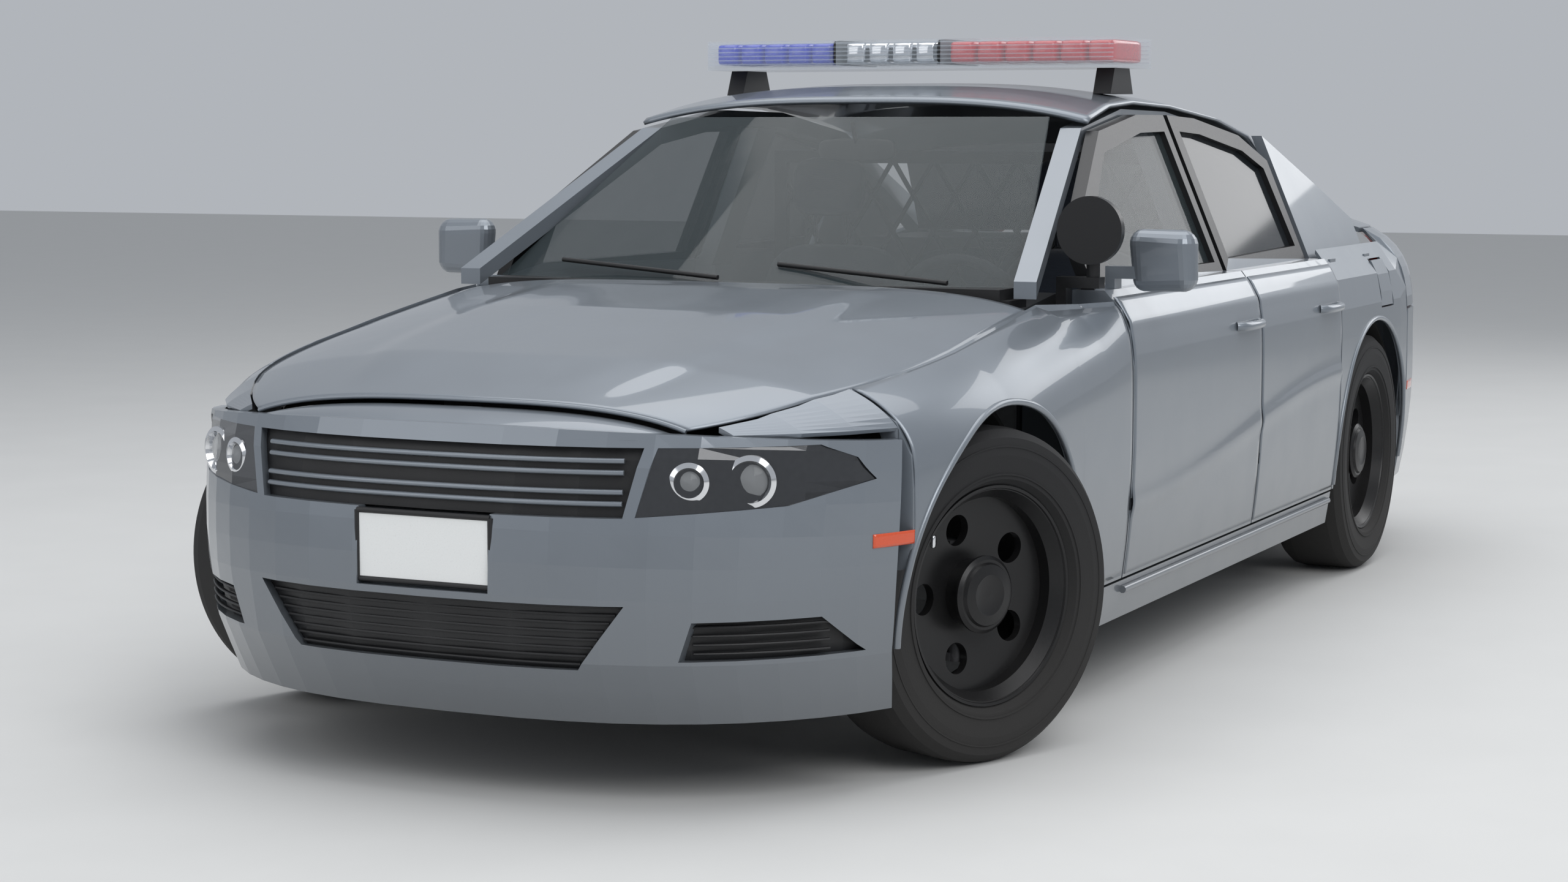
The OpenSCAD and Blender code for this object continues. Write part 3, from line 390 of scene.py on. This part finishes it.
class SALOON_OT_panels(bpy.types.Operator):
    """Smooth hood, roof, nose, fender, right quarter and door skins over the frame's faceted panels."""
    bl_idname = "saloon.panels"
    bl_label = "Panels"

    def execute(self, context):
        s = settings()
        x = np.linspace(1166, 2346, 90)[:, None]
        u = np.linspace(-1, 1, 90)[None, :]
        half = LID_SHARE * HALF * plan(x, WIDE_Z)
        y = u * half
        across = smooth_step(0.62, 0.5, np.abs(u)) - 0.35 * smooth_step(0.4, 0.2, np.abs(u))
        bulge = 9 * across * smooth_step(1166, 1300, x) * smooth_step(2346, 2120, x)
        z = deck(x, y) - 9 + bulge * s.crease
        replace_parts(sheet("hood_skin", grid(x, y, z), "hood", "paint", 5), "hood")
        front_y = np.linspace(-1, 1, 50) * half[-1]
        tube("hood_front_lip", grid(2344.0, front_y, deck(2344.0, front_y) - 14), 5, "hood", "paint")
        x = np.linspace(398, -1178, 80)[:, None]
        edge = np.minimum(640, 815 - 0.42 * (np.interp(x, ROOF[:, 0], ROOF[:, 1]) - 46 - 975) + 2)
        y = np.linspace(-1, 1, 60)[None, :] * edge
        z = roof(x, y) - 1
        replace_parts(sheet("roof_skin", grid(x, y, z), "body", "paint", 10), "roof_panel")
        t = np.linspace(-1, 1, 70)[:, None]
        rim_y = t * 440
        reach = np.interp(748, ENDS[:, 0], ENDS[:, 1]) - NOSE_C
        nose_x = NOSE_C + reach * fall(np.abs(rim_y) / HALF, 2.6) - 4
        lip_y = t * half[-1]
        v = np.linspace(0, 1, 12)[None, :]
        x = nose_x * (1 - v) + 2350.0 * v
        z = 749 * (1 - v) + (deck(np.full_like(lip_y, 2346.0), lip_y) - 26) * v + 10 * np.sin(v * math.pi)
        sheet("nose_panel", grid(x, rim_y * (1 - v) + lip_y * v, z), "body", "paint", 3)
        for side, tag in ((1, "left"), (-1, "right")):
            for name, fx, x0, x1, sill in (("fender", FRONT_X, 2010, 882, 300), ("quarter", REAR_X, -1016,
                    -1828, 300)):
                ends = np.array([fx + ARCH_R + 4, fx - ARCH_R - 4])
                x = np.unique(np.concatenate([np.linspace(x0, x1, 100), ends[(ends < max(x0,
                    x1)) & (ends > min(x0, x1))]]))[:, None]
                arch = np.sqrt(np.maximum(0, (ARCH_R + 4) ** 2 - (x - fx) ** 2))
                low = np.where(arch > 0, AXLE_Z + arch, sill)
                y_lid = LID_SHARE * HALF * plan(x, WIDE_Z) + 9
                high = np.where(x > 1135, deck(x, y_lid) - 2,
                    940.0) if name == "fender" else np.where(x < -1800, deck(x, y_lid) - 2, 985.0)
                v = np.linspace(0, 1, 40)[None, :]
                z = low + (high - low) * v
                if name == "quarter" and side == 1:  # the fuel flap is here, so the frame's own panel shows
                    continue
                y = wide(x, z) + 1.2
                sheet(f"{name}_skin_{tag}", grid(x, side * y, z), "body", "paint", 2.4, (0, side, 0))
            for name, x0, x1 in (("front", 862, -182), ("rear", -198, -1002)):
                x = np.linspace(x0, x1, 70)[:, None]
                z = np.linspace(300, 960, 60)[None, :]
                line = 470 + 170 * smooth_step(862, -1002, x)
                scallop = 5 * s.crease * np.exp(-((z - line) / 26) ** 2) + 3 * s.crease * np.exp(-((z - 900) / 14) ** 2) * (z < 960)
                y = wide(x, z) + 1.2 + scallop
                pts = grid(x, side * y, z)
                sheet(f"{name}_door_skin_{tag}", pts, f"{tag}_{name}_door", "paint", 3, (0, side, 0))
        return {"FINISHED"}


class SALOON_OT_lamps(bpy.types.Operator):
    """Light bar modules, headlamp projectors, spotlight lens and side markers."""
    bl_idname = "saloon.lamps"
    bl_label = "Lamps"

    def execute(self, context):
        lo, hi = (np.array(p) * 1000 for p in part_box("light_bar"))
        mid, top, low = (lo[0] + hi[0]) / 2, hi[2] - 2, lo[2] + 10
        for y0, y1, mat, n in ((-590, -225, "blue", 5), (115, 590, "red", 6), (-195, 85, "chrome", 4)):
            w = (y1 - y0) / n
            for k in range(n):
                c = (mid, y0 + w * (k + 0.5), (low + top) / 2)
                pillow(f"bar_module_{mat}_{k}", c, (128, w / 2 - 3, (top - low) / 2 - 3), "body", mat, 7, n=16)
        for k, y in enumerate((-210, 100)):
            pillow(f"bar_divider_{k}", (mid, y, (low + top) / 2 + 2), (148, 5, (top - low) / 2), "body",
                "black", 9, n=12)
        z = np.linspace(low + 6, top - 6, 6)
        for k, zz in enumerate(z):
            for sx in (-1, 1):
                tube(f"bar_rib_{k}_{sx}", [(mid + sx * 147, -596, zz), (mid + sx * 147, 0, zz),
                    (mid + sx * 147, 596, zz)], 2, "body", "lens", 8)
        for side in (-1, 1):
            for y, r in ((640, 42), (540, 30)):
                x = float(NOSE_C + (2490 - NOSE_C) * fall(np.array(y / HALF), 2.6)) + 3
                lathe(f"lamp_bezel_{y}_{side}", [(r + 10, -14), (r + 10, 0), (r, 4), (r - 6, -10)], (x,
                    side * y, 668), (0.93, side * 0.37, 0), "body", "chrome", 48)
                lathe(f"lamp_ball_{y}_{side}", [(0.1, 6), (r * .5, 2), (r * .8, -6), (r - 6, -14)], (x,
                    side * y, 668), (0.93, side * 0.37, 0), "body", "lamp_glass", 48)
            for fx, tag in ((2060, "front"), (-1920, "rear")):
                z = np.linspace(520, 548, 6)[None, :]
                x = np.linspace(fx - 55, fx + 55, 14)[:, None]
                y = side * (wide(x, z) + 0.5 + 0 * x)
                sheet(f"marker_{tag}_{side}", grid(x, y, z), "body", "amber_red", 3, (0, side, 0))
        lo, hi = (np.array(p) * 1000 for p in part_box("spotlight"))
        c = (hi[0] - 2, (lo[1] + hi[1]) / 2, hi[2] - 80)
        lathe("spot_lens", [(0.1, -2), (30, -3), (58, -6), (72, -10)], c, (1, 0, 0), "spotlight", "lamp_glass",
            64)
        for k in range(5):
            r = 14 + 13 * k
            lathe(f"spot_ring_{k}", [(r, -8), (r + 2, -3 - k), (r + 4, -8)], c, (1, 0, 0), "spotlight",
                "chrome", 64)
        return {"FINISHED"}


class SALOON_OT_trim(bpy.types.Operator):
    """Grille bars and rods, intake bars, fog slats, arch lips, handles, sill edges, wipers and plate frame."""
    bl_idname = "saloon.trim"
    bl_label = "Trim"

    def execute(self, context):
        nose = lambda y, z: NOSE_C + (np.interp(z, ENDS[:, 0], ENDS[:, 1]) - NOSE_C) * fall(np.abs(y) / HALF,
            2.6)
        for k, z in enumerate((625, 648, 686, 709)):
            y = np.linspace(-418, 418, 41)
            tube(f"grille_bar_{k}", grid(nose(y, z) - 14, y, float(z)), 7, "body", "paint",
                flat=0.8)
        for k, y in enumerate(np.linspace(-390, 390, 27)):
            z = np.linspace(606, 728, 8)
            tube(f"grille_rod_{k}", grid(nose(y, z) - 30, y, z), 3, "body", "black", 8)
        for k, z in enumerate(np.arange(302, 424, 17)):
            reach = np.interp(z, [292, 425], [322, 420])
            y = np.linspace(-reach, reach, 31)
            tube(f"intake_bar_{k}", grid(nose(y, z) - 22, y, float(z)), 3.2, "body", "black", 8)
        for side in (-1, 1):
            for k, z in enumerate((326, 344, 362, 380)):
                y = np.linspace(540, 750, 16)
                tube(f"fog_slat_{k}_{side}", grid(nose(y, z) - 26, side * y, float(z)), 5, "body", "black", 8,
                    flat=0.6)
            for fx, tag in ((FRONT_X, "front"), (REAR_X, "rear")):
                a = np.radians(np.linspace(-8, 188, 72))
                x, z = fx + (ARCH_R + 5) * np.cos(a), AXLE_Z + (ARCH_R + 5) * np.sin(a)
                tube(f"arch_lip_{tag}_{side}", grid(x, side * (wide(x, z) - 2), z), 8, "body", "paint", 10)
        for side, tag in ((1, "left"), (-1, "right")):
            for name, hx in (("front", -60.0), ("rear", -870.0)):
                x = np.linspace(hx - 95, hx + 95, 24)
                out = 26 * np.sin(np.linspace(0, math.pi, 24)) ** 0.35
                tube(f"{name}_handle_{tag}", grid(x, side * (wide(x, 840.0) + out), 840.0), 12,
                    f"{tag}_{name}_door", "paint", 14, 1.0)
            x = np.linspace(1150, -980, 60)
            tube(f"sill_edge_{tag}", grid(x[8:], side * (wide(x[8:], 262.0) + 2), 262.0), 9, "body", "paint",
                10)
        for k, y0 in enumerate((560, -40)):
            p = np.stack([np.linspace(1128, 1060, 20), np.linspace(y0, y0 - 470, 20), np.linspace(998, 1030,
                20)], -1)
            tube(f"wiper_{k}", p, 6, "body", "black", 10)
        tube("rear_view_mirror_stalk", [(430, 0, 1375), (420, 0, 1345), (405, 0, 1310)], 6, "body", "black",
            10)
        pillow("rear_view_mirror", (400, 0, 1300), (14, 110, 30), "body", "black", 4, n=24)
        lo, hi = (np.array(p) * 1000 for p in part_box("front_plate"))
        fr = [(hi[0] - 2, sy * 157, z) for sy, z in ((-1, lo[2] - 2), (1, lo[2] - 2), (1, hi[2] + 2), (-1,
            hi[2] + 2))]
        for k in range(4):
            a, b = np.array(fr[k]), np.array(fr[(k + 1) % 4])
            tube(f"plate_frame_{k}", [a, (a + b) / 2, b], 6, "body", "black", 10)
        return {"FINISHED"}


class SALOON_OT_wheels(bpy.types.Operator):
    """A hub cap, rim edge, sidewall rings and balance weight on each wheel."""
    bl_idname = "saloon.wheels"
    bl_label = "Wheels"

    def execute(self, context):
        joints = {j["name"]: j for j in frame["joints"]}
        for tag in ("fl", "fr", "rl", "rr"):
            j = joints["spin_" + tag]
            side = 1 if tag[1] == "l" else -1
            axis = np.array(j["axis"], float) * side
            c = np.array(j["pos_m"], float) * 1000
            body = "wheel_" + tag
            lathe(f"hub_cap_{tag}", [(84, 64), (84, 70), (76, 76), (70, 76), (66, 82), (44, 86), (40, 84),
                (0.1, 86)], c, axis, body, "steel", 72)
            lathe(f"rim_edge_{tag}", [(228, 86), (232, 94), (238, 95), (240, 88)], c, axis, body, "steel", 96)
            for k, r in enumerate((262, 300, 322)):
                lathe(f"sidewall_ring_{tag}_{k}", [(r - 3, 108), (r - 1.5, 112.2), (r + 1.5, 112.2), (r + 3,
                    108)], c, axis, body, "tyre", 96)
            side_v = np.cross(axis, (0, 0, 1.0))
            weight = c + axis * 92 + 224 * (side_v * 0.8 + np.array([0, 0, 0.6]))
            pillow(f"balance_weight_{tag}", weight, (9, 5, 14), body, "chrome", 4, n=12)
        return {"FINISHED"}


class SALOON_OT_seats(bpy.types.Operator):
    """Padded cushions, backs and headrests in place of the plain soft solids."""
    bl_idname = "saloon.seats"
    bl_label = "Seats"

    def execute(self, context):
        front, rear = [], []
        for side in (1, -1):
            y = side * 370
            front += [pillow(f"seat_cushion_{side}", (118, y, 455), (240, 236, 60), "body", "cloth", 4, 0.04,
                -3, 4),
                      pillow(f"seat_back_{side}", (-232, y, 745), (280, 232, 62), "body", "cloth", 4, 0.05, 77,
                          4),
                      pillow(f"headrest_{side}", (-225, y, 1190), (85, 116, 34), "body", "cloth", 3.4, 0.05,
                          80, 0)]
            for dy in (-50, 50):
                tube(f"headrest_post_{side}_{dy}", [(-245, y + dy, 1030), (-238, y + dy, 1080), (-232, y + dy,
                    1130)], 6, "body", "chrome", 12)
            tube(f"seat_rail_{side}", [(-100, y, 262), (120, y, 262), (330, y, 262)], 12, "body",
                "satin_black", 10)
        rear += [pillow("rear_cushion", (-705, 0, 400), (225, 660, 92), "body", "cloth", 5, 0.03, -4,
            5),
                 pillow("rear_back", (-1012, 0, 745), (250, 510, 58), "body", "cloth", 5, 0.03, 72,
                     5)]
        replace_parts(front[0], "front_seats")
        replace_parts(rear[0], "rear_seat")
        return {"FINISHED"}


class SALOON_OT_stage(bpy.types.Operator):
    """Pale floor, soft studio lights and the camera."""
    bl_idname = "saloon.stage"
    bl_label = "Stage"

    def execute(self, context):
        s = settings()
        scene = context.scene
        n = 64
        x, y = np.meshgrid(np.linspace(-30, 30, n), np.linspace(-30, 30, n), indexing="ij")
        mesh = bpy.data.meshes.new("floor")
        pts = np.stack([x, y, np.zeros_like(x)], -1).reshape(-1, 3)
        mesh.from_pydata(pts.tolist(), [], grid_faces(n, n).tolist())
        floor = bpy.data.objects.new("floor", mesh)
        material("floor", (0.62, 0.62, 0.61), 0.75, 0, 3, 0.02, 0.03)
        mesh.materials.append(MATS["floor"])
        scene.collection.objects.link(floor)
        for name, where, size, power in (("key", (6, 7, 7), 6, 420), ("fill", (9, -5, 5), 7, 160), ("top", (0,
                0, 8), 9, 420), ("rim", (-8, 4, 5), 5, 150)):
            lamp = bpy.data.lights.new(name, "AREA")
            lamp.size, lamp.energy = size, power * s.light
            obj = bpy.data.objects.new(name, lamp)
            obj.location = where
            obj.rotation_euler = (Vector((0, 0, 0.6)) - Vector(where)).to_track_quat("-Z", "Y").to_euler()
            scene.collection.objects.link(obj)
        world = bpy.data.worlds.new("studio")
        world.use_nodes = True
        world.node_tree.nodes["Background"].inputs["Color"].default_value = (0.80, 0.84, 0.90, 1)
        world.node_tree.nodes["Background"].inputs["Strength"].default_value = 0.55
        scene.world = world
        scene.view_settings.view_transform = "Standard"
        cam = bpy.data.cameras.new("camera")
        cam.lens = 66.2
        cam.clip_end = 200
        obj = bpy.data.objects.new("camera", cam)
        where = Vector((7.342, 3.138, 1.358))
        yaw, pitch = math.radians(205.77), math.radians(-6.20)
        look = Vector((math.cos(yaw) * math.cos(pitch), math.sin(yaw) * math.cos(pitch), math.sin(pitch)))
        q = look.to_track_quat("-Z", "Y")
        obj.rotation_euler = q.to_euler()
        obj.location = where
        scene.collection.objects.link(obj)
        scene.camera = obj
        return {"FINISHED"}


class PatrolSaloonSettings(bpy.types.PropertyGroup):
    """User values of the looks."""
    paint: bpy.props.FloatVectorProperty(name="Paint", subtype="COLOR", size=3, default=(0.20, 0.225, 0.255),
        min=0, max=1)
    crease: bpy.props.FloatProperty(name="Crease depth", default=1.0, min=0, max=2)
    light: bpy.props.FloatProperty(name="Light", default=1.0, min=0.1, max=4)


OPERATORS = [SALOON_OT_materials, SALOON_OT_panels, SALOON_OT_lamps, SALOON_OT_trim, SALOON_OT_wheels,
    SALOON_OT_seats, SALOON_OT_stage]


class SALOON_PT_panel(bpy.types.Panel):
    """Panel in the 3D view sidebar."""
    bl_idname = "SALOON_PT_panel"
    bl_label = "Patrol Saloon"
    bl_space_type = "VIEW_3D"
    bl_region_type = "UI"
    bl_category = "Patrol Saloon"

    def draw(self, context):
        s = context.scene.patrol_saloon
        for name in ("paint", "crease", "light"):
            self.layout.prop(s, name)
        for op in OPERATORS:
            self.layout.operator(op.bl_idname)


CLASSES = [PatrolSaloonSettings, *OPERATORS, SALOON_PT_panel]


def register():
    """Register the classes and the settings."""
    for cls in CLASSES:
        bpy.utils.register_class(cls)
    bpy.types.Scene.patrol_saloon = bpy.props.PointerProperty(type=PatrolSaloonSettings)


def unregister():
    """Undo register."""
    del bpy.types.Scene.patrol_saloon
    for cls in reversed(CLASSES):
        bpy.utils.unregister_class(cls)


def main():
    """Build everything."""
    register()
    for op in OPERATORS:
        group, name = op.bl_idname.split(".")
        result = getattr(getattr(bpy.ops, group), name)()
        if result != {"FINISHED"}:
            raise RuntimeError(op.bl_idname)


if __name__ == "__main__":
    main()
